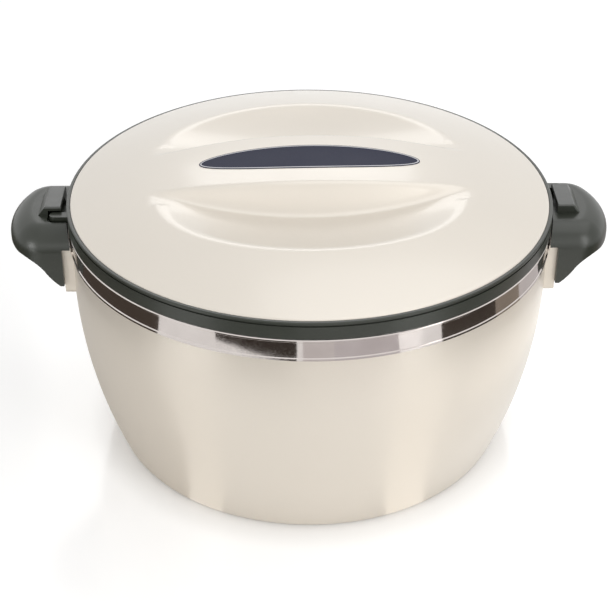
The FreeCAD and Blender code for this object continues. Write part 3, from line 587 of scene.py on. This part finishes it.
lid_rings = 130
lid_steps = 320
closeness = 0.00001
flat_end = lid_radius - lid_edge_round
lid_profile = [(flat_end * ring / lid_rings, 0) for ring in range(lid_rings + 1)]
edge_centre = lid_edge_height - lid_edge_round
for turn in (30, 60, 90):
    angle = math.radians(turn)
    lid_profile.append((flat_end + lid_edge_round * math.sin(angle),
                        edge_centre + lid_edge_round * math.cos(angle)))
lid_profile.append((lid_radius, lid_skirt_bottom))
bm = spun(lid_profile, lid_steps)
for vertex in bm.verts:
    if math.hypot(vertex.co.x, vertex.co.y) < flat_end + closeness:
        vertex.co.z = lid_height(vertex.co.x, vertex.co.y)
bm.normal_update()
if max(bm.faces, key=lambda face: face.calc_center_median().z).normal.z < 0:
    bmesh.ops.reverse_faces(bm, faces=bm.faces)
bmesh.ops.rotate(bm, verts=bm.verts, cent=(0, 0, 0), matrix=Matrix.Rotation(lid_turned, 3, "Z"))
pearl_lid = moulded_material("pearl_lid", (0.748, 0.690, 0.608), (0.783, 0.726, 0.644), roughness=0.36,
                             marks=0.03, peel_depth=0.000004, coat=0.6, coat_roughness=0.14, pearl=0.12)
lid_cover = finish_piece(bm, "lid_cover_skin", "lid", pearl_lid)
wall = lid_cover.modifiers.new("wall", "SOLIDIFY")
wall.thickness = lid_wall
wall.offset = -1
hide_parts("lid_cover")


# Oval plate
# Thin navy plate let into the top of the bar, blank, with a fine pale line just inside its edge.

plate_half_length = 0.06435
plate_half_width = 0.01425
plate_thickness = 0.001
plate_proud = 0.0003
line_start = 0.0006
line_stop = 0.0013
line_softness = 0.0001
line_depth = 0.00004
speckle_scale = 1500
gloss_scale = 45

plate_rings = 40
plate_steps = 160
plate_profile = [(ring / plate_rings, 0) for ring in range(plate_rings + 1)] + [(1, -plate_thickness)]
bm = spun(plate_profile, plate_steps)
top_radius = dome_radius + plate_proud
for vertex in bm.verts:
    vertex.co.x *= plate_half_length
    vertex.co.y *= plate_half_width
    face_height = lid_top - dome_radius + math.sqrt(top_radius ** 2 - vertex.co.x ** 2 - vertex.co.y ** 2)
    vertex.co.z += face_height
bm.normal_update()
if max(bm.faces, key=lambda face: face.calc_center_median().z).normal.z < 0:
    bmesh.ops.reverse_faces(bm, faces=bm.faces)
bmesh.ops.rotate(bm, verts=bm.verts, cent=(0, 0, 0), matrix=Matrix.Rotation(lid_turned, 3, "Z"))

plate_material, tree, shader = new_material("navy_plate")
mapping = tree.nodes.new("ShaderNodeMapping")
mapping.vector_type = "TEXTURE"
mapping.inputs["Rotation"].default_value = (0, 0, lid_turned)
mapping.inputs["Scale"].default_value = (plate_half_length, plate_half_width, 1)
tree.links.new(object_place(tree), mapping.inputs["Vector"])
parts = tree.nodes.new("ShaderNodeSeparateXYZ")
tree.links.new(mapping.outputs[0], parts.inputs[0])
across, along = parts.outputs["X"], parts.outputs["Y"]


def root_of_squares(first, second):
    squares = (arithmetic(tree, "MULTIPLY", part, part) for part in (first, second))
    return arithmetic(tree, "SQRT", arithmetic(tree, "ADD", *squares))


reach = root_of_squares(across, along)
steepness = root_of_squares(arithmetic(tree, "DIVIDE", across, plate_half_length),
                            arithmetic(tree, "DIVIDE", along, plate_half_width))
inset = arithmetic(tree, "DIVIDE", arithmetic(tree, "MULTIPLY", arithmetic(tree, "SUBTRACT", 1, reach),
                                              reach), steepness)
line = arithmetic(tree, "MULTIPLY", spread(tree, inset, 0, 1, line_start - line_softness, line_start),
                  spread(tree, inset, 1, 0, line_stop, line_stop + line_softness))
speckle = spread(tree, noise(tree, object_place(tree), speckle_scale, 2), 0, 1)
navy = blend_colour(tree, speckle, (0.018, 0.021, 0.046, 1), (0.024, 0.027, 0.056, 1))
tree.links.new(blend_colour(tree, line, navy, (0.72, 0.72, 0.75, 1)), shader.inputs["Base Color"])
tree.links.new(spread(tree, noise(tree, object_place(tree), gloss_scale, 3), 0.18, 0.24),
               shader.inputs["Roughness"])
shader.inputs["IOR"].default_value = 1.12
bumped(tree, shader, line, line_depth)
plate = finish_piece(bm, "oval_plate", "lid", plate_material)
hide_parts("lid_badge")


# Seal
# Soft pale rubber ring with a faint bloom, squeezed between the lid and the bowl's flange. It rides up with
# the lid.

seal_material = moulded_material("soft_seal", (0.60, 0.59, 0.56), (0.66, 0.65, 0.62),
                                 roughness=0.62, marks=0.08, peel_depth=0.00002)
dress("lid_seal", seal_material)
